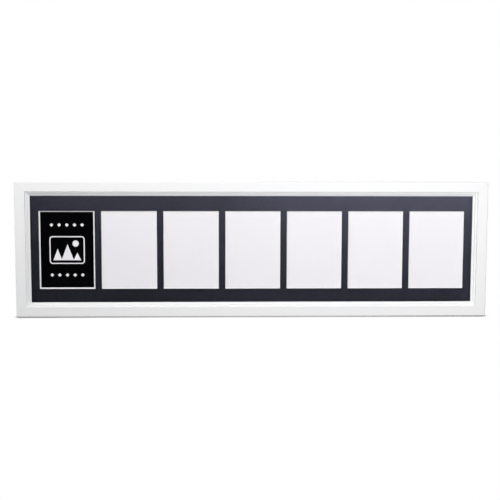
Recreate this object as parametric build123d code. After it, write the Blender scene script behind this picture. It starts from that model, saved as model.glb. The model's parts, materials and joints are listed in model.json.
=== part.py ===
from build123d import *

import os
from math import asin, degrees, radians, tan

# A long wall frame for seven upright prints: a mitred and rebated moulding, and behind its lip
# glass, a mat with seven bevelled windows, the prints, a filler board and a backing board.
# Millimetres. X runs along the frame, Z is up and the front faces -Y. The origin is on the
# underside of the bottom rail, in the middle of its length and of the moulding's depth.

# Prints, and the mat with a window for each
PRINT_W = 127.0  # a 5 in by 7 in print, upright
PRINT_H = 177.8
PRINT_T = 0.3
PRINT_COVER = 3.175  # how much of each print edge the mat hides
WINDOW_COUNT = 7
MAT_BAR = 14.35  # black bar between two windows
MAT_END_BORDER = 24.175  # from the last window to the end of the mat
MAT_LONG_BORDER = 37.775  # from a window to the long edge of the mat
MAT_T = 1.5
MAT_FACE_T = 0.2  # black facing paper on the white core
BEVEL_ANGLE = 45.0  # the knife's slope at a window edge

# Sheets in the rebate
GLASS_T = 1.9
GLASS_AIR = 0.1  # film of air between the glass and the mat's paper
FILLER_T = 3.0
BACKING_T = 3.0
SHEET_PLAY = 2.0  # room on each side, the sheets rest on the bottom rail
BACK_RECESS = 0.2  # the backing board's back lies this far inside the rails

# Moulding section, from its outer side to the sight edge
MOULD_W = 32.0
STEP_LAND = 4.3  # flat of the upper step
STEP_DROP = 5.0  # from the face down to that flat
LIP_LAND = 4.7  # flat of the lip, along the sight edge
LIP_DROP = 3.5  # from the upper step down to the lip
LIP_FALL = 1.5  # the lip slopes towards the sight edge
SIGHT_T = 2.5  # thickness of the sight edge, above the glass
REBATE_W = 8.0
ARRIS_R = 2.5  # outer front edge
BACK_EDGE_R = 0.8
STEP_EDGE_R = 0.7  # the steps' outer corners
STEP_ROOT_R = 0.5  # the steps' inner corners

# V nails across each mitre
V_NAIL_COUNT = 2
V_NAIL_T = 0.6
V_NAIL_LEG = 6.0
V_NAIL_H = 10.0
V_NAIL_FIRST = 5.0  # from the outer sides of the corner to the first nail's point
V_NAIL_STEP = 9.0

# Pan head wood screws, the same for turn buttons and hangers
SCREW_R = 1.5
SCREW_L = 13.0  # under the head, with the point
SCREW_POINT = 3.0
SCREW_HEAD_R = 3.3
SCREW_HEAD_H = 2.0
SCREW_HEAD_TOP_R = 2.5  # flat top of the head
SCREW_HEAD_EDGE = 0.9  # straight side of the head, below its slope
DRIVE_L = 3.6  # cross recess
DRIVE_W = 0.8
DRIVE_DEPTH = 1.1
PILOT_CLEAR = 0.05

# Turn buttons
BUTTON_T = 1.2
BUTTON_HUB_R = 6.0
BUTTON_TIP_R = 4.0
BUTTON_REACH = 16.0  # from the screw to the tip
BUTTON_RIB_W = 2.6
BUTTON_RIB_H = 0.6
BUTTON_RIB_GAP = 1.4  # from the screw's head to the rib
BUTTON_EDGE = 0.3  # broken edge, all round
BUTTON_CLEAR = 0.08  # round the screw
BUTTON_PLAY = 0.1  # under the button, and under the screw's head
BUTTON_INSET = 7.0  # from the rebate's wall to the screw
BUTTON_ROW = 4  # on each long rail
BUTTON_END = 151.0  # from the end of the frame to the row's first screw

# Strap hangers with D-rings
RING_WIRE_R = 1.25
RING_HALF_W = 7.5  # to the middle of the wire
RING_CORNER_R = 2.5
RING_LEG = 0.5  # straight side between a corner and the bow
RING_CLEAR = 0.08  # round the bar, in the strap's eye
RING_SEAT = 0.3  # between the hanging ring and its strap
STRAP_SIDE_PLAY = 0.5  # between the strap and the ring's corners
STRAP_T = 0.8  # strip, folded double
STRAP_SCREW_1 = 16.5  # from the ring's bar to the first screw
STRAP_SCREW_2 = 27.0
STRAP_HOLE_CLEAR = 0.1
LEVEL_HANGER_DROP = 75.0  # from the frame's top to the bars on the side rails
HANGER_BUTTON_GAP = 11.5  # on the long rails, from the first button to the strap

# Rubber bumpers
BUMPER_R = 6.0
BUMPER_TOP_R = 4.6
BUMPER_H = 5.0
BUMPER_EDGE = 0.6  # broken edge round the top
BUMPER_INSET = 45.0  # from the end of the frame

# Worked out from the values above
bevel_run = MAT_T * tan(radians(BEVEL_ANGLE))
window_w = PRINT_W - 2 * PRINT_COVER + 2 * bevel_run
window_h = PRINT_H - 2 * PRINT_COVER + 2 * bevel_run
pitch = window_w + MAT_BAR
sheet_w = (WINDOW_COUNT - 1) * pitch + window_w + 2 * MAT_END_BORDER
sheet_h = window_h + 2 * MAT_LONG_BORDER
back_w = MOULD_W - REBATE_W
outer_w = sheet_w + 2 * SHEET_PLAY + 2 * back_w
outer_h = sheet_h + 2 * SHEET_PLAY + 2 * back_w
face_w = MOULD_W - STEP_LAND - LIP_LAND
rebate_d = GLASS_T + GLASS_AIR + MAT_T + PRINT_T + FILLER_T + BACKING_T + BACK_RECESS
lip_d = STEP_DROP + LIP_DROP + LIP_FALL + SIGHT_T
mould_d = lip_d + rebate_d
front_y = -mould_d / 2
back_y = mould_d / 2
glass_y = front_y + lip_d
sheet_z = back_w + sheet_h / 2
button_spacing = (outer_w - 2 * BUTTON_END) / (BUTTON_ROW - 1)
button_x = [BUTTON_END - outer_w / 2 + i * button_spacing for i in range(BUTTON_ROW)]
button_in = back_w - BUTTON_INSET
strap_w = 2 * (RING_HALF_W - RING_CORNER_R - STRAP_SIDE_PLAY)
strap_l = STRAP_SCREW_2 + strap_w / 2
plate_t = 2 * STRAP_T
eye_r = RING_WIRE_R + RING_CLEAR
bar_h = eye_r + STRAP_T
ring_reach = RING_CORNER_R + RING_LEG + RING_HALF_W
ring_lean = degrees(asin((plate_t + RING_SEAT + RING_WIRE_R - bar_h) / ring_reach))


def on_back(x, z, turn):
    """Place on the rails' back. A piece drawn with +Y pointing down the frame turns about its own Z."""
    return Pos(x, back_y, z) * Rot(-90, 0, 0) * Rot(0, 0, turn)


# Where each turn button goes: name, place of its screw, and the turn that points it at the board
buttons = [(f"top_{i + 1}", x, outer_h - button_in, 0) for i, x in enumerate(button_x)]
buttons += [(f"bottom_{i + 1}", x, button_in, 180) for i, x in enumerate(button_x)]
buttons += [
    ("left", button_in - outer_w / 2, outer_h / 2, -90),
    ("right", outer_w / 2 - button_in, outer_h / 2, 90),
]

# Where each hanger goes: two on the side rails, and two near the left end for hanging upright
level_z = outer_h - LEVEL_HANGER_DROP
upright_x = button_x[0] + BUTTON_HUB_R + HANGER_BUTTON_GAP + strap_l
hangers = [
    ("left", (back_w - outer_w) / 2, level_z, 0),
    ("right", (outer_w - back_w) / 2, level_z, 0),
    ("top", upright_x, outer_h - back_w / 2, -90),
    ("bottom", upright_x, back_w / 2, -90),
]


def moulding(length):
    """One rail along X, outer side down on Z = 0, stepped and rebated and mitred at both ends."""
    section = [
        ((front_y, 0), ARRIS_R),
        ((front_y, face_w), STEP_EDGE_R),
        ((front_y + STEP_DROP, face_w), STEP_ROOT_R),
        ((front_y + STEP_DROP, face_w + STEP_LAND), STEP_EDGE_R),
        ((front_y + STEP_DROP + LIP_DROP, face_w + STEP_LAND), STEP_ROOT_R),
        ((glass_y - SIGHT_T, MOULD_W), STEP_EDGE_R),
        ((glass_y, MOULD_W), 0),
        ((glass_y, back_w), 0),
        ((back_y, back_w), 0),
        ((back_y, 0), BACK_EDGE_R),
    ]
    points = [point for point, _ in section]
    radii = [radius for _, radius in section]
    outline = make_face(Plane.YZ * FilletPolyline(*points, radius=radii, close=True))
    stick = extrude(outline, length / 2, both=True)
    mitre = Polygon(
        (-length / 2, 0),
        (length / 2, 0),
        (length / 2 - MOULD_W, MOULD_W),
        (MOULD_W - length / 2, MOULD_W),
        align=None,
    )
    return stick & extrude(Plane.XZ * mitre, mould_d, both=True)


def v_nail(row):
    """A steel angle across the mitre, with its point towards the corner, flush with the rails' back."""
    point = V_NAIL_FIRST + row * V_NAIL_STEP
    leg = Rectangle(V_NAIL_LEG, V_NAIL_T, align=Align.MIN)
    angle = leg + Rectangle(V_NAIL_T, V_NAIL_LEG, align=Align.MIN)
    return extrude(Plane.XZ.offset(-back_y) * Pos(point, point) * angle, V_NAIL_H)


def screw():
    """A pan head wood screw, with the underside of its head on Z = 0."""
    profile = Polyline(
        (0, -SCREW_L),
        (SCREW_R, SCREW_POINT - SCREW_L),
        (SCREW_R, 0),
        (SCREW_HEAD_R, 0),
        (SCREW_HEAD_R, SCREW_HEAD_EDGE),
        (SCREW_HEAD_TOP_R, SCREW_HEAD_H),
        (0, SCREW_HEAD_H),
        close=True,
    )
    body = revolve(Plane.XZ * make_face(profile), Axis.Z)
    cross = Rectangle(DRIVE_L, DRIVE_W) + Rectangle(DRIVE_W, DRIVE_L)
    return body - extrude(Pos(0, 0, SCREW_HEAD_H) * cross, -DRIVE_DEPTH)


def turn_button():
    """A pressed steel button, its screw hole at the origin and its tip towards +Y."""
    tip = Pos(0, BUTTON_REACH - BUTTON_TIP_R) * Circle(BUTTON_TIP_R)
    outline = make_hull(Circle(BUTTON_HUB_R).edges() + tip.edges())
    plate = extrude(outline, BUTTON_T)
    plate = chamfer(plate.faces().sort_by(Axis.Z)[-1].edges(), BUTTON_EDGE)
    rib_start = SCREW_HEAD_R + BUTTON_RIB_GAP
    rib_l = BUTTON_REACH - BUTTON_TIP_R - rib_start
    rib = Pos(0, rib_start + rib_l / 2) * Rot(0, 0, 90) * SlotCenterToCenter(rib_l, BUTTON_RIB_W)
    ribbed = plate + extrude(Pos(0, 0, BUTTON_T) * rib, BUTTON_RIB_H)
    drilled = ribbed - Cylinder(SCREW_R + BUTTON_CLEAR, 4 * BUTTON_T)
    return Pos(0, 0, BUTTON_PLAY) * drilled


def strap():
    """A steel strip folded round the ring's bar, which lies along X, and flat on the wood towards +Y."""
    fold = Rectangle(strap_l, plate_t, align=Align.MIN) + Pos(0, bar_h) * Circle(bar_h)
    fold -= Pos(0, bar_h) * Circle(eye_r)
    strip = extrude(Plane.YZ * fold, strap_w / 2, both=True)
    plan = Pos(0, STRAP_SCREW_2) * Circle(strap_w / 2)
    plan += Pos(0, -bar_h) * Rectangle(strap_w, bar_h + STRAP_SCREW_2, align=(Align.CENTER, Align.MIN))
    strip &= extrude(plan, 2 * bar_h)
    for y in (STRAP_SCREW_1, STRAP_SCREW_2):
        strip -= Pos(0, y, 0) * Cylinder(SCREW_R + STRAP_HOLE_CLEAR, 4 * plate_t)
    return strip


def d_ring():
    """A bent wire ring, its bar in the strap's eye, hanging towards +Y and leaning off the strap."""
    straight = RING_HALF_W - RING_CORNER_R
    bow = RING_CORNER_R + RING_LEG
    sides = [
        (straight, 0),
        (RING_HALF_W, RING_CORNER_R),
        (RING_HALF_W, bow),
    ]
    right = Line((0, 0), sides[0])
    right += TangentArc(sides[0], sides[1], tangent=(1, 0))
    right += Line(sides[1], sides[2])
    right += TangentArc(sides[2], (0, ring_reach), tangent=(0, 1))
    half = sweep(Plane.YZ * Circle(RING_WIRE_R), path=right)
    ring = half + mirror(half, Plane.YZ)
    return Pos(0, 0, bar_h) * Rot(ring_lean, 0, 0) * ring


def bumper():
    """A moulded rubber foot, stuck on by its wide end, with a flat top."""
    cone = Cone(BUMPER_R, BUMPER_TOP_R, BUMPER_H, align=(Align.CENTER, Align.CENTER, Align.MIN))
    return chamfer(cone.faces().sort_by(Axis.Z)[-1].edges(), BUMPER_EDGE)


def sheet(front, thickness):
    """A full sheet in the rebate, resting on the bottom rail."""
    return Pos(0, front + thickness / 2, sheet_z) * Box(sheet_w, thickness, sheet_h)


nodes = {}

# Steel that fixes the frame together, which the rails are cut and drilled for
nails = [v_nail(row) for row in range(V_NAIL_COUNT)]
nails = [Pos(-outer_w / 2, 0, 0) * nail for nail in nails]
nails += [mirror(nail, Plane.YZ) for nail in nails]
nails += [mirror(nail, Plane.XY.offset(outer_h / 2)) for nail in nails]
nodes["corner_v_nails"] = nails

pan_screw = screw()
head_lift = Pos(0, 0, 2 * BUTTON_PLAY + BUTTON_T)
button_places = [on_back(x, z, turn) for _, x, z, turn in buttons]
nodes["turn_button_screws"] = [place * head_lift * pan_screw for place in button_places]
strap_places = [on_back(x, z, turn) for _, x, z, turn in hangers]
nodes["hanger_screws"] = [
    place * Pos(0, y, plate_t) * pan_screw
    for place in strap_places
    for y in (STRAP_SCREW_1, STRAP_SCREW_2)
]

# The four rails
pilot = Cylinder(SCREW_R + PILOT_CLEAR, 2 * SCREW_L)
pilots = [place * pilot for place in button_places]
pilots += [place * Pos(0, y, 0) * pilot for place in strap_places for y in (STRAP_SCREW_1, STRAP_SCREW_2)]
long_rail = moulding(outer_w)
short_rail = moulding(outer_h)
rails = {
    "rail_bottom": long_rail,
    "rail_top": Pos(0, 0, outer_h) * Rot(0, 180, 0) * long_rail,
    "rail_left": Pos(-outer_w / 2, 0, outer_h / 2) * Rot(0, 90, 0) * short_rail,
    "rail_right": Pos(outer_w / 2, 0, outer_h / 2) * Rot(0, -90, 0) * short_rail,
}
for name, rail in rails.items():
    nodes[name] = [rail - nails - pilots]

# The stack behind the lip, front to back
nodes["glazing_sheet"] = [sheet(glass_y, GLASS_T)]
mat_y = glass_y + GLASS_T + GLASS_AIR
window_x = [(i - (WINDOW_COUNT - 1) / 2) * pitch for i in range(WINDOW_COUNT)]
opening = extrude(Rectangle(window_w, window_h), MAT_T, taper=BEVEL_ANGLE)
openings = [Pos(x, mat_y, sheet_z) * Rot(-90, 0, 0) * opening for x in window_x]
nodes["mat_face"] = [sheet(mat_y, MAT_FACE_T) - openings]
nodes["mat_core"] = [sheet(mat_y + MAT_FACE_T, MAT_T - MAT_FACE_T) - openings]
print_y = mat_y + MAT_T
for i, x in enumerate(window_x):
    name = "sample_insert" if i == 0 else f"blank_insert_{i + 1}"
    nodes[name] = [Pos(x, print_y + PRINT_T / 2, sheet_z) * Box(PRINT_W, PRINT_T, PRINT_H)]
filler_y = print_y + PRINT_T
nodes["filler_board"] = [sheet(filler_y, FILLER_T)]
nodes["backing_board"] = [sheet(filler_y + FILLER_T, BACKING_T)]

# What is fixed to the back
button = turn_button()
for (name, *_), place in zip(buttons, button_places):
    nodes[f"turn_button_{name}"] = [place * button]
hanger_strap = strap()
hanger_ring = d_ring()
for (name, *_), place in zip(hangers, strap_places):
    nodes[f"hanger_strap_{name}"] = [place * hanger_strap]
    nodes[f"hanger_ring_{name}"] = [place * hanger_ring]
foot = bumper()
bumper_x = outer_w / 2 - BUMPER_INSET
bumper_z = back_w / 2
nodes["wall_bumpers"] = [
    on_back(x, z, 0) * foot
    for x in (-bumper_x, bumper_x)
    for z in (bumper_z, outer_h - bumper_z)
]

os.makedirs("parts", exist_ok=True)
for name, solids in nodes.items():
    export_step(Compound([solid for piece in solids for solid in piece.solids()]), f"parts/{name}.step")

print(f"outer {outer_w:.2f} x {outer_h:.2f} x {mould_d:.2f}, sheets {sheet_w:.2f} x {sheet_h:.2f}")
print(f"pitch {pitch:.2f}, window {window_w:.2f} x {window_h:.2f}, ring lean {ring_lean:.2f}")
print(f"ring bar height {bar_h:.2f}, ring reach {ring_reach:.2f}, strap width {strap_w:.2f}")
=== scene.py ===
import json
from math import pi, radians

import bmesh
import bpy
from mathutils import Matrix, Vector

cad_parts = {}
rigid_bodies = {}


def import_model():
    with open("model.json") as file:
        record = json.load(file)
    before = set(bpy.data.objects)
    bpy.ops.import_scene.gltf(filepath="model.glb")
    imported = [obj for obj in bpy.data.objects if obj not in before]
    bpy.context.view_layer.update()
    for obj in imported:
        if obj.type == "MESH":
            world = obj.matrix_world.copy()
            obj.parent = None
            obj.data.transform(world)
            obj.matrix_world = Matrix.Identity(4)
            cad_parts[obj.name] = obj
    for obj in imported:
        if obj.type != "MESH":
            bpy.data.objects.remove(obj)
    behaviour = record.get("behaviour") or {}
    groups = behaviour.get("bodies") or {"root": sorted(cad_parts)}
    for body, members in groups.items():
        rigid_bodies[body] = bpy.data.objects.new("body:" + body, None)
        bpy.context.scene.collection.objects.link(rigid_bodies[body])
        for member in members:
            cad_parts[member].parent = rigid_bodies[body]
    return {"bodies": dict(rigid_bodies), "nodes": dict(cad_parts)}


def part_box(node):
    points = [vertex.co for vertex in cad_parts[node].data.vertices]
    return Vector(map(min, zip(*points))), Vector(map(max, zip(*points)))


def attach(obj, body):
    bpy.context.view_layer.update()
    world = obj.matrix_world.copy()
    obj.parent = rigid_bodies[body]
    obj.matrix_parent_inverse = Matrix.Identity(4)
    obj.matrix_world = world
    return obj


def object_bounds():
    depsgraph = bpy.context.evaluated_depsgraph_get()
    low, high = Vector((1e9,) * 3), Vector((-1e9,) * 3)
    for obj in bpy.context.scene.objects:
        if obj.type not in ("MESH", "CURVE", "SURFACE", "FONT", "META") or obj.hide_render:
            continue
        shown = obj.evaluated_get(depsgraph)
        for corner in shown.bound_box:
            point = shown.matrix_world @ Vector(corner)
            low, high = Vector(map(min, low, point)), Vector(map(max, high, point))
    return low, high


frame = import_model()
cad_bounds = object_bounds()
scene = bpy.context.scene


# The moulding: four lengths of softwood, planed to a stepped section and mitred at the corners.
# Front and sides are sprayed with white satin lacquer. The back and the rebate stay bare, with a
# little overspray that came round the outer edge, and each mitre shows as a hairline in the lacquer.

MM = 0.001
LACQUER_WHITE = "EDEDEE"
MITRE_SHADE = "D6D5D2"
PINE_EARLY = "E3CEA6"
PINE_MID = "D9BF91"
PINE_LATE = "C29A66"
FRAME_HIGH = Vector(cad_bounds[1]) / MM
BACK_OF_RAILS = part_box("rail_top")[1].y / MM
BACK_OF_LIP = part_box("glazing_sheet")[0].y / MM
SHEET_PLAY = 2.0
REBATE_WALL = FRAME_HIGH.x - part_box("glazing_sheet")[1].x / MM - SHEET_PLAY
BARE_FROM, BARE_TO = 0.3, 0.1  # the lacquer ends this far in front of a bare face
MITRE_LINE, MITRE_FADE = 0.05, 0.35
OVERSPRAY_REACH = 4.5
SPATTER_SIZE, DRIFT_SIZE = 0.45, 9.0
PEEL_SIZE = 1.4
RING_WIDTH = 3.2
RING_WANDER = 11.0
GRAIN_LENGTH, GRAIN_WIDTH = 240.0, 16.0
FIBRE_LENGTH, FIBRE_WIDTH = 30.0, 0.6
WAVE_PERIOD = pi / 10  # the wave texture repeats after this length at a scale of 1
FIBRE_SHARE = 0.5
EARLY_AT, MID_AT, LATE_AT = 0.3, 0.58, 0.8
FILM_SMOOTH, FILM_ROUGH = 0.34, 0.42
BARE_DULL = 0.35
LACQUER_GLOSS = 0.35
LACQUER_RELIEF, LACQUER_BUMP = 0.05, 0.25


def linear(hex_code):
    """An sRGB hex colour as linear RGBA."""
    channels = [int(hex_code[i:i + 2], 16) / 255 for i in (0, 2, 4)]
    return [c / 12.92 if c <= 0.04045 else ((c + 0.055) / 1.055) ** 2.4 for c in channels] + [1.0]


def add_node(tree, kind, sockets=None, **settings):
    """Adds a shader node with its settings. A socket in sockets is linked, and a value is set. Inputs go by
    name, or by number where Blender gives several the same name."""
    node = tree.nodes.new("ShaderNode" + kind)
    for name, value in settings.items():
        setattr(node, name, value)
    for name, value in (sockets or {}).items():
        if isinstance(value, bpy.types.NodeSocket):
            tree.links.new(value, node.inputs[name])
        else:
            node.inputs[name].default_value = value
    return node


def start_material(name):
    """An empty material: itself, its node tree, and Object coordinates in millimetres."""
    material = bpy.data.materials.new(name)
    material.use_nodes = True
    tree = material.node_tree
    tree.nodes.clear()
    metres = add_node(tree, "TexCoord").outputs["Object"]
    mm = add_node(tree, "VectorMath", {0: metres, "Scale": 1 / MM}, operation="SCALE").outputs[0]
    return material, tree, mm


def dress(material, *names):
    """Puts a material on CAD nodes."""
    for name in names:
        for slot in frame["nodes"][name].material_slots:
            slot.material = material


def lacquered_pine(side, along, pith):
    """Sprayed lacquer gives a faint orange peel and a soft gloss; the bare back shows the growth rings
    of the tree, sawn along the grain. pith is where the middle of the tree would pass."""
    material, tree, mm = start_material(f"satin_lacquered_pine_{side}")
    place = add_node(tree, "SeparateXYZ", {0: mm})
    x, y, z = place.outputs

    # How far a point is from the mitre, seen from the front
    from_end = add_node(tree, "Math", {0: x}, operation="ABSOLUTE").outputs[0]
    from_end = add_node(tree, "Math", {0: FRAME_HIGH.x, 1: from_end}, operation="SUBTRACT").outputs[0]
    middle = FRAME_HIGH.z / 2
    from_long = add_node(tree, "Math", {0: z, 1: middle}, operation="SUBTRACT").outputs[0]
    from_long = add_node(tree, "Math", {0: from_long}, operation="ABSOLUTE").outputs[0]
    from_long = add_node(tree, "Math", {0: middle, 1: from_long}, operation="SUBTRACT").outputs[0]
    off_mitre = add_node(tree, "Math", {0: from_end, 1: from_long}, operation="SUBTRACT").outputs[0]
    off_mitre = add_node(tree, "Math", {0: off_mitre}, operation="ABSOLUTE").outputs[0]
    hairline = add_node(
        tree,
        "MapRange",
        {0: off_mitre, 1: MITRE_LINE, 2: MITRE_FADE, 3: 1.0, 4: 0.0},
        interpolation_type="SMOOTHSTEP",
    ).outputs[0]

    # Lacquer, with the film's orange peel
    peel = add_node(tree, "TexNoise", {"Vector": mm, "Scale": 1 / PEEL_SIZE, "Detail": 1.0}).outputs[0]
    lacquer = add_node(
        tree,
        "Mix",
        {0: hairline, 6: linear(LACQUER_WHITE), 7: linear(MITRE_SHADE)},
        data_type="RGBA",
    ).outputs[2]

    # Bare wood: each ring goes from pale early wood to a narrow line of late wood, with fine fibres over it
    stretch = [1 / GRAIN_LENGTH if axis == along else 1 / GRAIN_WIDTH for axis in "XYZ"]
    wander = add_node(tree, "Mapping", {0: mm, "Scale": stretch}).outputs[0]
    wander = add_node(tree, "TexNoise", {"Vector": wander, "Scale": 1.0, "Detail": 2.0}).outputs["Color"]
    bent = add_node(
        tree, "VectorMath", {0: wander, 1: [RING_WANDER] * 3, 2: mm}, operation="MULTIPLY_ADD"
    ).outputs[0]
    bent = add_node(tree, "VectorMath", {0: bent, 1: pith}, operation="SUBTRACT").outputs[0]
    rings = add_node(
        tree,
        "TexWave",
        {"Vector": bent, "Scale": WAVE_PERIOD / RING_WIDTH, "Distortion": 0.0},
        wave_type="RINGS",
        rings_direction=along,
        wave_profile="SAW",
    ).outputs[1]
    stretch = [1 / FIBRE_LENGTH if axis == along else 1 / FIBRE_WIDTH for axis in "XYZ"]
    fibres = add_node(tree, "Mapping", {0: mm, "Scale": stretch}).outputs[0]
    fibres = add_node(tree, "TexNoise", {"Vector": fibres, "Scale": 1.0, "Detail": 3.0}).outputs[0]
    grain = add_node(tree, "Mix", {0: FIBRE_SHARE, 2: rings, 3: fibres}).outputs[0]
    wood = add_node(tree, "ValToRGB", {0: grain})
    tones = wood.color_ramp.elements
    tones[0].position, tones[0].color = EARLY_AT, linear(PINE_EARLY)
    tones[1].position, tones[1].color = LATE_AT, linear(PINE_LATE)
    tones.new(MID_AT).color = linear(PINE_MID)

    # Where the wood is bare: in the rebate and on the back, less a haze of overspray near the outer edge
    from_edge = add_node(tree, "Math", {0: from_end, 1: from_long}, operation="MINIMUM").outputs[0]
    rebate, inside, back = (
        add_node(tree, "MapRange", {0: depth, 1: face - BARE_FROM, 2: face - BARE_TO}).outputs[0]
        for depth, face in ((from_edge, REBATE_WALL), (y, BACK_OF_LIP), (y, BACK_OF_RAILS))
    )
    rebate = add_node(tree, "Math", {0: rebate, 1: inside}, operation="MULTIPLY").outputs[0]
    bare = add_node(tree, "Math", {0: back, 1: rebate}, operation="MAXIMUM").outputs[0]
    drift, spatter = (
        add_node(tree, "TexNoise", {"Vector": mm, "Scale": 1 / size, "Detail": 2.0}).outputs[0]
        for size in (DRIFT_SIZE, SPATTER_SIZE)
    )
    ragged = add_node(tree, "Math", {0: spatter, 1: drift}, operation="ADD").outputs[0]
    ragged = add_node(
        tree, "Math", {0: ragged, 1: OVERSPRAY_REACH, 2: from_edge}, operation="MULTIPLY_ADD"
    ).outputs[0]
    haze = add_node(
        tree,
        "MapRange",
        {0: ragged, 1: OVERSPRAY_REACH, 2: 2 * OVERSPRAY_REACH, 3: 1.0, 4: 0.0},
        interpolation_type="SMOOTHSTEP",
    ).outputs[0]
    bare = add_node(tree, "Math", {0: bare, 1: haze}, operation="SUBTRACT", use_clamp=True).outputs[0]

    colour = add_node(
        tree, "Mix", {0: bare, 6: lacquer, 7: wood.outputs[0]}, data_type="RGBA"
    ).outputs[2]
    film = add_node(tree, "MapRange", {0: peel, 3: FILM_SMOOTH, 4: FILM_ROUGH}).outputs[0]
    dull = add_node(tree, "MapRange", {0: bare, 3: 0.0, 4: BARE_DULL}).outputs[0]
    roughness = add_node(tree, "Math", {0: film, 1: dull}, operation="ADD").outputs[0]
    relief = add_node(tree, "Mix", {0: bare, 2: peel, 3: fibres}).outputs[0]
    relief = add_node(tree, "Math", {0: relief, 1: hairline}, operation="SUBTRACT").outputs[0]
    bump = add_node(
        tree, "Bump", {"Height": relief, "Strength": LACQUER_BUMP, "Distance": LACQUER_RELIEF * MM}
    ).outputs[0]
    shader = add_node(
        tree,
        "BsdfPrincipled",
        {
            "Base Color": colour,
            "Roughness": roughness,
            "Specular IOR Level": LACQUER_GLOSS,
            "Normal": bump,
        },
    )
    add_node(tree, "OutputMaterial", {0: shader.outputs[0]})
    return material


dress(lacquered_pine("top", "X", (0, 70, 240)), "rail_top")
dress(lacquered_pine("bottom", "X", (0, -45, 55)), "rail_bottom")
dress(lacquered_pine("left", "Z", (-450, -20, 0)), "rail_left")
dress(lacquered_pine("right", "Z", (545, 75, 0)), "rail_right")


# The V nails: strips of bright cold-rolled steel, bent to an angle and pressed into the back of
# each mitre by machine. Only their back edges show, flush with the wood.

STEEL_BRIGHT = "A9ABAD"
STEEL_SMOOTH, STEEL_ROUGH = 0.28, 0.48
ROLL_GRAIN = 0.25


def rolled_steel():
    """Cold-rolled strip: a grey oiled gloss, made uneven by a fine grain from the rolls."""
    material, tree, mm = start_material("cold_rolled_steel")
    grain = add_node(tree, "TexNoise", {"Vector": mm, "Scale": 1 / ROLL_GRAIN, "Detail": 2.0}).outputs[0]
    roughness = add_node(tree, "MapRange", {0: grain, 3: STEEL_SMOOTH, 4: STEEL_ROUGH}).outputs[0]
    shader = add_node(
        tree,
        "BsdfPrincipled",
        {"Base Color": linear(STEEL_BRIGHT), "Metallic": 1.0, "Roughness": roughness},
    )
    add_node(tree, "OutputMaterial", {0: shader.outputs[0]})
    return material


dress(rolled_steel(), "corner_v_nails")


# The glazing: one sheet of clear float glass, just under 2 mm thick and with ground edges, dropped
# into the rebate so that it lies against the back of the lip.

GLASS_TINT = "FBFCFC"
GLASS_IOR = 1.52
WIPE_SIZE = 45.0
WIPE_FROM, WIPE_TO = 0.35, 0.75
WIPE_DULL = 0.03


def float_glass():
    """Float glass is flat and clear, with the least trace of wiping on it. Lamps shine through
    it on what is behind, because a rendered caustic would be only noise there."""
    material, tree, mm = start_material("float_glass")
    wipes = add_node(tree, "TexNoise", {"Vector": mm, "Scale": 1 / WIPE_SIZE, "Detail": 4.0}).outputs[0]
    roughness = add_node(
        tree, "MapRange", {0: wipes, 1: WIPE_FROM, 2: WIPE_TO, 3: 0.0, 4: WIPE_DULL}
    ).outputs[0]
    glass = add_node(
        tree,
        "BsdfPrincipled",
        {
            "Base Color": linear(GLASS_TINT),
            "Roughness": roughness,
            "IOR": GLASS_IOR,
            "Transmission Weight": 1.0,
        },
    )
    clear = add_node(tree, "BsdfTransparent")
    path = add_node(tree, "LightPath")
    lamp_ray = add_node(
        tree,
        "Math",
        {0: path.outputs["Is Shadow Ray"], 1: path.outputs["Is Diffuse Ray"]},
        operation="MAXIMUM",
    ).outputs[0]
    mix = add_node(tree, "MixShader", {0: lamp_ray, 1: glass.outputs[0], 2: clear.outputs[0]})
    add_node(tree, "OutputMaterial", {0: mix.outputs[0]})
    return material


dress(float_glass(), "glazing_sheet")


# The mat: conservation board, a white core with a face of black satin paper, whose sheen is faintly
# blue. Seven windows are cut in it with a knife held at 45 degrees, which leaves the core as a white
# bevel round each print.

PAPER_BLACK = "131318"
PAPER_BLACK_LIFT = "1F1F25"
PAPER_SHEEN = "DDDDFF"
CORE_SHADE = "F0F0EE"
CORE_WHITE = "F6F6F4"
PLAIN_SHEEN = "FFFFFF"
CLOUD_SIZE = 25 / 3
TOOTH_SHARE = 0.6
MOTTLE_FROM, MOTTLE_TO = 0.55, 1.05
TOOTH_BUMP = 0.5


def paper(name, shade, lift, tooth, roughness, gloss, relief, sheen=PLAIN_SHEEN):
    """Paper or board: fibres give a fine tooth, and a slight cloudiness in the colour. A sized and
    pressed face has a soft sheen besides."""
    material, tree, mm = start_material(name)
    cloud, fibres = (
        add_node(tree, "TexNoise", {"Vector": mm, "Scale": 1 / size, "Detail": 3.0}).outputs[0]
        for size in (CLOUD_SIZE, tooth)
    )
    mottle = add_node(
        tree, "Math", {0: fibres, 1: TOOTH_SHARE, 2: cloud}, operation="MULTIPLY_ADD"
    ).outputs[0]
    mottle = add_node(tree, "MapRange", {0: mottle, 1: MOTTLE_FROM, 2: MOTTLE_TO}).outputs[0]
    colour = add_node(
        tree, "Mix", {0: mottle, 6: linear(shade), 7: linear(lift)}, data_type="RGBA"
    ).outputs[2]
    bump = add_node(
        tree, "Bump", {"Height": fibres, "Strength": TOOTH_BUMP, "Distance": relief * MM}
    ).outputs[0]
    shader = add_node(
        tree,
        "BsdfPrincipled",
        {
            "Base Color": colour,
            "Roughness": roughness,
            "Specular IOR Level": gloss,
            "Specular Tint": linear(sheen),
            "Normal": bump,
        },
    )
    add_node(tree, "OutputMaterial", {0: shader.outputs[0]})
    return material


black_paper = paper(
    "black_mat_paper",
    PAPER_BLACK,
    PAPER_BLACK_LIFT,
    tooth=0.7,
    roughness=0.28,
    gloss=0.75,
    relief=0.02,
    sheen=PAPER_SHEEN,
)
white_core = paper(
    "white_mat_core", CORE_SHADE, CORE_WHITE, tooth=0.5, roughness=0.85, gloss=0.3, relief=0.03
)
dress(black_paper, "mat_face")
dress(white_core, "mat_core")


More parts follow.
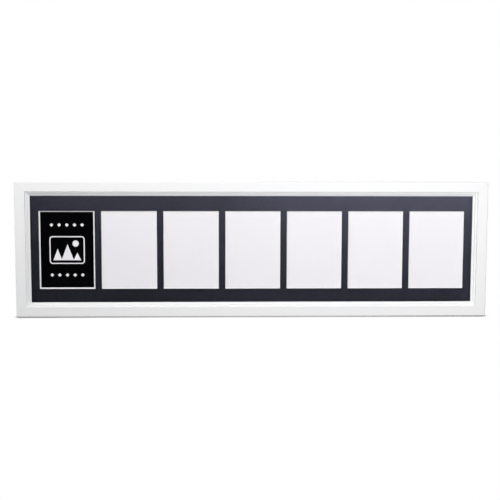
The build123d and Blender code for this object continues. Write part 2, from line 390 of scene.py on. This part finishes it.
# The inserts: white card the size of a print, held between the mat and the filler board. Six are
# blank. The first is printed: a black ground inside a white margin, with a plain picture sign.

CARD_WHITE = "F7F4F8"
CARD_SHADE = "F4F1F5"
INK_BLACK = "020203"
INK_BLACK_LIFT = "040405"
INK_SMOOTH, INK_ROUGH = 0.85, 0.95
INK_GLOSS = 0.05
LAY_SIZE = 2 / 3
BLANK_COUNT = 6
INK_T = 0.04
GROUND_W, GROUND_H = 117.4, 169.2
GROUND_RISE = 0.6
SIGN_W, SIGN_H = 78.0, 62.0
SIGN_LINE = 2.4
SIGN_CORNER = 7.0
CORNER_STEPS, SUN_STEPS = 6, 40
SUN_R = 7.0
SUN_PLACE = (19.0, 14.5)
HILL_FOOT = 8.0 - SIGN_H / 2
HILLS = [(-31.0, -11.0, 26.0), (-13.0, 15.0, 36.0), (14.0, 31.0, 17.0)]
DIAMOND_R = 4.2
DIAMOND_SPACING = 17.0
DIAMOND_COUNT = 5
DIAMOND_ROWS = (-56.0, 56.0)

card = paper("white_card", CARD_SHADE, CARD_WHITE, tooth=0.4, roughness=0.4, gloss=0.5, relief=0.015)
dress(card, "sample_insert")
dress(card, *(f"blank_insert_{i + 2}" for i in range(BLANK_COUNT)))


def ink_piece(name, bm, lift, material):
    """Makes a drawing on X and Y, in millimetres, into a film of ink on the first insert's face."""
    faces = bm.faces[:]
    film = bmesh.ops.extrude_face_region(bm, geom=faces)["geom"]
    corners = [part for part in film if isinstance(part, bmesh.types.BMVert)]
    bmesh.ops.translate(bm, verts=corners, vec=(0, 0, INK_T))
    bmesh.ops.recalc_face_normals(bm, faces=bm.faces)
    low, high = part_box("sample_insert")
    place = Vector(((low.x + high.x) / 2, low.y - lift * MM, (low.z + high.z) / 2))
    upright = Matrix.Rotation(pi / 2, 4, "X") @ Matrix.Scale(MM, 4)
    bmesh.ops.transform(bm, matrix=Matrix.Translation(place) @ upright, verts=bm.verts)
    mesh = bpy.data.meshes.new(name)
    bm.to_mesh(mesh)
    bm.free()
    mesh.materials.append(material)
    piece = bpy.data.objects.new(name, mesh)
    scene.collection.objects.link(piece)
    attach(piece, "frame")


def offset_ink(name, shade, lift):
    """Offset ink: a flat matt colour, with the least unevenness in its lay."""
    material, tree, mm = start_material(name)
    lay = add_node(tree, "TexNoise", {"Vector": mm, "Scale": 1 / LAY_SIZE, "Detail": 3.0}).outputs[0]
    colour = add_node(
        tree, "Mix", {0: lay, 6: linear(shade), 7: linear(lift)}, data_type="RGBA"
    ).outputs[2]
    roughness = add_node(tree, "MapRange", {0: lay, 3: INK_SMOOTH, 4: INK_ROUGH}).outputs[0]
    shader = add_node(
        tree,
        "BsdfPrincipled",
        {"Base Color": colour, "Roughness": roughness, "Specular IOR Level": INK_GLOSS},
    )
    add_node(tree, "OutputMaterial", {0: shader.outputs[0]})
    return material


ground = bmesh.new()
bmesh.ops.create_grid(ground, x_segments=1, y_segments=1, size=0.5)
bmesh.ops.scale(ground, vec=(GROUND_W, GROUND_H, 1), verts=ground.verts)
bmesh.ops.translate(ground, vec=(0, GROUND_RISE, 0), verts=ground.verts)
ink_piece("insert_black_ground", ground, 0.0, offset_ink("black_offset_ink", INK_BLACK, INK_BLACK_LIFT))

sign = bmesh.new()
bmesh.ops.create_grid(sign, x_segments=1, y_segments=1, size=0.5)
bmesh.ops.scale(sign, vec=(SIGN_W, SIGN_H, 1), verts=sign.verts)
bmesh.ops.bevel(
    sign,
    geom=sign.verts[:],
    offset=SIGN_CORNER,
    segments=CORNER_STEPS,
    profile=0.5,
    affect="VERTICES",
    material=-1,
)
inside = sign.faces[:]
bmesh.ops.inset_region(sign, faces=inside, thickness=SIGN_LINE, use_boundary=True)
bmesh.ops.delete(sign, geom=inside, context="FACES_ONLY")
sun_at = Matrix.Translation((*SUN_PLACE, 0))
bmesh.ops.create_circle(sign, cap_ends=True, segments=SUN_STEPS, radius=SUN_R, matrix=sun_at)
for left, right, height in HILLS:
    foot = [(left, HILL_FOOT, 0), (right, HILL_FOOT, 0), ((left + right) / 2, HILL_FOOT + height, 0)]
    sign.faces.new([sign.verts.new(point) for point in foot])
for height in DIAMOND_ROWS:
    for i in range(DIAMOND_COUNT):
        across = (i - (DIAMOND_COUNT - 1) / 2) * DIAMOND_SPACING
        at = Matrix.Translation((across, height, 0))
        bmesh.ops.create_circle(sign, cap_ends=True, segments=4, radius=DIAMOND_R, matrix=at)
ink_piece("insert_picture_sign", sign, INK_T, offset_ink("white_offset_ink", CARD_SHADE, CARD_WHITE))


# The boards behind the prints: a white-faced card filler, then a 3 mm hardboard back. Hardboard is
# wood fibre pressed hot under a smooth plate, so it is brown and flecked, with a dull polish.

FILLER_SHADE = "E2E0DA"
FILLER_WHITE = "E9E7E2"
HARDBOARD_DARK = "5F3D22"
HARDBOARD_MID = "7C5431"
HARDBOARD_PALE = "976B43"
FLECK_SIZE = 1.6
SPECK_SIZE = 0.45
BLOTCH_SIZE = 80.0
SPECK_SHARE, BLOTCH_SHARE = 0.45, 0.2
RESIN_AT, FIBRE_AT, PALE_AT = 0.44, 0.6, 0.76
BOARD_SMOOTH, BOARD_ROUGH = 0.45, 0.65
BOARD_RELIEF, BOARD_BUMP = 0.08, 0.3

filler = paper(
    "white_faced_card", FILLER_SHADE, FILLER_WHITE, tooth=0.6, roughness=0.85, gloss=0.3, relief=0.02
)
dress(filler, "filler_board")


def hardboard():
    """Pressed fibre: short flecks lie all ways, darker where resin gathered, over wide soft blotches."""
    material, tree, mm = start_material("pressed_hardboard")
    flecks = add_node(
        tree, "TexNoise", {"Vector": mm, "Scale": 1 / FLECK_SIZE, "Detail": 3.0, "Distortion": 1.8}
    ).outputs[0]
    specks = add_node(tree, "TexNoise", {"Vector": mm, "Scale": 1 / SPECK_SIZE, "Detail": 3.0}).outputs[0]
    fibres = add_node(tree, "Mix", {0: SPECK_SHARE, 2: flecks, 3: specks}).outputs[0]
    blotch = add_node(tree, "TexNoise", {"Vector": mm, "Scale": 1 / BLOTCH_SIZE, "Detail": 2.0}).outputs[0]
    mix = add_node(
        tree, "Math", {0: blotch, 1: BLOTCH_SHARE, 2: fibres}, operation="MULTIPLY_ADD"
    ).outputs[0]
    tone = add_node(tree, "ValToRGB", {0: mix})
    tones = tone.color_ramp.elements
    tones[0].position, tones[0].color = RESIN_AT, linear(HARDBOARD_DARK)
    tones[1].position, tones[1].color = PALE_AT, linear(HARDBOARD_PALE)
    tones.new(FIBRE_AT).color = linear(HARDBOARD_MID)
    roughness = add_node(tree, "MapRange", {0: fibres, 3: BOARD_SMOOTH, 4: BOARD_ROUGH}).outputs[0]
    bump = add_node(
        tree, "Bump", {"Height": fibres, "Strength": BOARD_BUMP, "Distance": BOARD_RELIEF * MM}
    ).outputs[0]
    shader = add_node(
        tree, "BsdfPrincipled", {"Base Color": tone.outputs[0], "Roughness": roughness, "Normal": bump}
    )
    add_node(tree, "OutputMaterial", {0: shader.outputs[0]})
    return material


dress(hardboard(), "backing_board")


# Turn buttons, pressed from zinc-plated steel with a stiffening rib, and the screws that hold
# these and the hangers, also zinc plated. The plating is a pale, slightly blue, cloudy metal.

ZINC = "C4C8CA"
ZINC_BLUE = "B2BAC2"
ZINC_CLOUD = 2.2
MARK_SIZE = 1 / 3
MARK_FROM, MARK_TO = 0.3, 0.7


def plated(name, shade, cloud_shade, cloud, smooth, rough):
    """Plated steel: bright metal, with a soft cloudiness left by the bath and fine handling marks."""
    material, tree, mm = start_material(name)
    bath = add_node(tree, "TexNoise", {"Vector": mm, "Scale": 1 / cloud, "Detail": 3.0}).outputs[0]
    colour = add_node(
        tree, "Mix", {0: bath, 6: linear(shade), 7: linear(cloud_shade)}, data_type="RGBA"
    ).outputs[2]
    marks = add_node(
        tree, "TexNoise", {"Vector": mm, "Scale": 1 / MARK_SIZE, "Detail": 4.0, "Distortion": 2.0}
    ).outputs[0]
    roughness = add_node(
        tree, "MapRange", {0: marks, 1: MARK_FROM, 2: MARK_TO, 3: smooth, 4: rough}
    ).outputs[0]
    shader = add_node(
        tree, "BsdfPrincipled", {"Base Color": colour, "Metallic": 1.0, "Roughness": roughness}
    )
    add_node(tree, "OutputMaterial", {0: shader.outputs[0]})
    return material


buttons = [name for name in frame["bodies"] if name.startswith("turn_button")]
dress(plated("zinc_plated_steel", ZINC, ZINC_BLUE, ZINC_CLOUD, smooth=0.26, rough=0.42), *buttons)
screw_zinc = plated("zinc_plated_screw", ZINC, ZINC_BLUE, ZINC_CLOUD, smooth=0.2, rough=0.36)
dress(screw_zinc, "turn_button_screws", "hanger_screws")


# The hangers: a nickel-plated strip folded round the bar of a wire D-ring and screwed to the rail.
# Two serve when the frame hangs level, and two when it hangs upright.

NICKEL = "CFC9BE"
NICKEL_WARM = "C2B9AA"
NICKEL_CLOUD = 5.0

straps = [name for name in frame["nodes"] if name.startswith("hanger_strap")]
rings = [name for name in frame["bodies"] if name.startswith("hanger_ring")]
nickel = plated("nickel_plated_steel", NICKEL, NICKEL_WARM, NICKEL_CLOUD, smooth=0.14, rough=0.26)
dress(nickel, *straps, *rings)


# The wall bumpers: moulded black rubber buttons stuck to the corners of the back, which keep the
# metal off the wall and let air behind the frame.

RUBBER = "1D1D1F"
RUBBER_BLOOM = "2A2A2C"

# Moulded rubber has a fine tooth and a bloom like those of paper, so one function serves for both
rubber = paper("moulded_rubber", RUBBER, RUBBER_BLOOM, tooth=0.5, roughness=0.62, gloss=0.3, relief=0.03)
dress(rubber, "wall_bumpers")


# The stage: a wide pale floor, which the camera sees as white. The shade close under the frame is
# drawn in the floor's material from how near the frame is, and set deeper towards its ends to match
# the photograph. The floor gives back little light, so that the lower edges stay in shade.

FLOOR_HALF = 5.0
FLOOR_RETURN = "4A4A4A"
SHADE_REACH = 16.0
SHADE_SAMPLES = 8
SHADE_FULL, SHADE_NONE = 0.5, 0.95
SHADE_MIDDLE = 150.0
SHADE_DEPTH_MIDDLE, SHADE_DEPTH_ENDS = 0.58, 0.95
SHADE_FADE = 4.0
SHADE_PAST_ENDS = 0.25

bpy.ops.mesh.primitive_plane_add(size=2 * FLOOR_HALF, location=(0, 0, 0))
floor = bpy.context.object
floor.name = "floor"
floor.visible_glossy = False
floor.visible_transmission = False
floor_material, floor_tree, floor_mm = start_material("pale_floor")
floor_open = add_node(
    floor_tree, "AmbientOcclusion", {"Distance": SHADE_REACH * MM}, samples=SHADE_SAMPLES
).outputs["AO"]
floor_shade = add_node(
    floor_tree, "MapRange", {0: floor_open, 1: SHADE_FULL, 2: SHADE_NONE, 3: 1.0, 4: 0.0}
).outputs[0]
floor_across = add_node(floor_tree, "SeparateXYZ", {0: floor_mm}).outputs[0]
floor_across = add_node(floor_tree, "Math", {0: floor_across}, operation="ABSOLUTE").outputs[0]
floor_depth = add_node(
    floor_tree,
    "MapRange",
    {0: floor_across, 1: SHADE_MIDDLE, 2: FRAME_HIGH.x, 3: SHADE_DEPTH_MIDDLE, 4: SHADE_DEPTH_ENDS},
).outputs[0]
fade_from, fade_to = FRAME_HIGH.x - SHADE_FADE, FRAME_HIGH.x + SHADE_FADE
floor_end = add_node(
    floor_tree, "MapRange", {0: floor_across, 1: fade_from, 2: fade_to, 3: 1.0, 4: SHADE_PAST_ENDS}
).outputs[0]
for share in (floor_depth, floor_end):
    floor_shade = add_node(floor_tree, "Math", {0: floor_shade, 1: share}, operation="MULTIPLY").outputs[0]
floor_level = add_node(floor_tree, "Math", {0: 1.0, 1: floor_shade}, operation="SUBTRACT").outputs[0]
floor_white = add_node(floor_tree, "Emission", {1: floor_level})
floor_lit = add_node(floor_tree, "BsdfDiffuse", {0: linear(FLOOR_RETURN)})
floor_path = add_node(floor_tree, "LightPath").outputs["Is Camera Ray"]
floor_mix = add_node(
    floor_tree, "MixShader", {0: floor_path, 1: floor_lit.outputs[0], 2: floor_white.outputs[0]}
)
add_node(floor_tree, "OutputMaterial", {0: floor_mix.outputs[0]})
floor.data.materials.append(floor_material)


# The light: softboxes in front, above and behind, in a dim room, and two long strips in front that
# give the satin paper its sheen. Glass and metal show the room: in front it is pale only high up, so
# that nothing veils the print behind the glass, and at the back it is pale all over.

ROOM_FILL = 0.04
WALL_LEAN = (0.2, 0.0, 1.0)
WALL_FROM, WALL_TO = 0.05, 0.3
WALL_CURVE = 2.25
WALL_TINT = "E8E6FB"
BEHIND_FROM, BEHIND_TO = -0.1, 0.15
BEHIND_LOW, BEHIND_HIGH = 0.35, 0.95
BEHIND_SUNK, BEHIND_RISEN = -0.6, 0.4
ROOM_WHITE = "FFFFFF"

world = bpy.data.worlds.new("pale_room")
scene.world = world
world.use_nodes = True
room = world.node_tree
room.nodes.clear()
path = add_node(room, "LightPath")
direction = add_node(room, "TexCoord").outputs["Generated"]
level = add_node(room, "VectorMath", {0: direction, 1: WALL_LEAN}, operation="DOT_PRODUCT").outputs["Value"]
level = add_node(room, "MapRange", {0: level, 1: WALL_FROM, 2: WALL_TO}).outputs[0]
level = add_node(room, "Math", {0: level, 1: WALL_CURVE}, operation="POWER").outputs[0]
_, backwards, upwards = add_node(room, "SeparateXYZ", {0: direction}).outputs
behind = add_node(room, "MapRange", {0: backwards, 1: BEHIND_FROM, 2: BEHIND_TO}).outputs[0]
height = add_node(
    room, "MapRange", {0: upwards, 1: BEHIND_SUNK, 2: BEHIND_RISEN, 3: BEHIND_LOW, 4: BEHIND_HIGH}
).outputs[0]
behind = add_node(room, "Math", {0: behind, 1: height}, operation="MULTIPLY").outputs[0]
level = add_node(room, "Math", {0: level, 1: behind}, operation="MAXIMUM").outputs[0]
wall = add_node(room, "Background", {0: linear(WALL_TINT), 1: level})
fill_level = add_node(room, "Math", {0: behind, 1: ROOM_FILL}, operation="MAXIMUM").outputs[0]
fill = add_node(room, "Background", {0: linear(ROOM_WHITE), 1: fill_level})
white = add_node(room, "Background", {0: linear(ROOM_WHITE), 1: 1.0})
mirrored = add_node(
    room,
    "Math",
    {0: path.outputs["Is Glossy Ray"], 1: path.outputs["Is Transmission Ray"]},
    operation="MAXIMUM",
).outputs[0]
lit = add_node(room, "MixShader", {0: mirrored, 1: fill.outputs[0], 2: wall.outputs[0]})
backdrop = add_node(
    room, "MixShader", {0: path.outputs["Is Camera Ray"], 1: lit.outputs[0], 2: white.outputs[0]}
)
add_node(room, "OutputWorld", {0: backdrop.outputs[0]})


def softbox(name, place, size, watts, shows_in_gloss=True, through_glass=False):
    """A rectangular lamp that points at the frame. One that gives the mat its sheen through the glass is
    sampled at the lamp alone, or the glass would weaken it."""
    lamp = bpy.data.lights.new(name, "AREA")
    lamp.shape = "RECTANGLE"
    lamp.size, lamp.size_y = size
    lamp.energy = watts
    lamp.cycles.use_multiple_importance_sampling = not through_glass
    holder = bpy.data.objects.new(name, lamp)
    holder.location = place
    aim = Vector((0, 0, FRAME_HIGH.z / 2 * MM)) - Vector(place)
    holder.rotation_euler = aim.to_track_quat("-Z", "Y").to_euler()
    holder.visible_glossy = shows_in_gloss
    holder.visible_transmission = False
    scene.collection.objects.link(holder)


softbox("softbox_front_right", (0.6, -1.5, 0.5), (0.9, 0.7), 15.7, shows_in_gloss=False)
softbox("softbox_above_left", (-0.7, -0.7, 1.1), (0.7, 0.5), 6.6, shows_in_gloss=False)
softbox("softbox_far_left", (-5.0, -1.7, 1.0), (2.0, 1.5), 84.0, shows_in_gloss=False)
softbox("softbox_behind", (-0.5, 1.6, 1.0), (1.2, 0.8), 12.0)
softbox("strip_right", (0.75, -1.9, 0.42), (1.5, 0.2), 9.1, through_glass=True)
softbox("strip_left", (-0.5, -1.9, 0.42), (1.0, 0.2), 2.4, through_glass=True)


# The camera: a little left of the middle, about two metres in front and just above the frame, with
# a lens somewhat longer than normal.

CAMERA_PLACE = Vector((-0.0703, -1.937, 0.3219))
CAMERA_AIM = Vector((-0.0063, 0.0033, 0.1489))
CAMERA_ROLL = 0.133
CAMERA_LENS = 62.55
CAMERA_SENSOR = 36.0

camera_data = bpy.data.cameras.new("camera")
camera_data.lens = CAMERA_LENS
camera_data.sensor_width = CAMERA_SENSOR
camera = bpy.data.objects.new("camera", camera_data)
look = (CAMERA_AIM - CAMERA_PLACE).to_track_quat("-Z", "Y").to_matrix().to_4x4()
roll = Matrix.Rotation(radians(CAMERA_ROLL), 4, "Z")
camera.matrix_world = Matrix.Translation(CAMERA_PLACE) @ look @ roll
scene.collection.objects.link(camera)
scene.camera = camera
scene.view_settings.view_transform = "Standard"
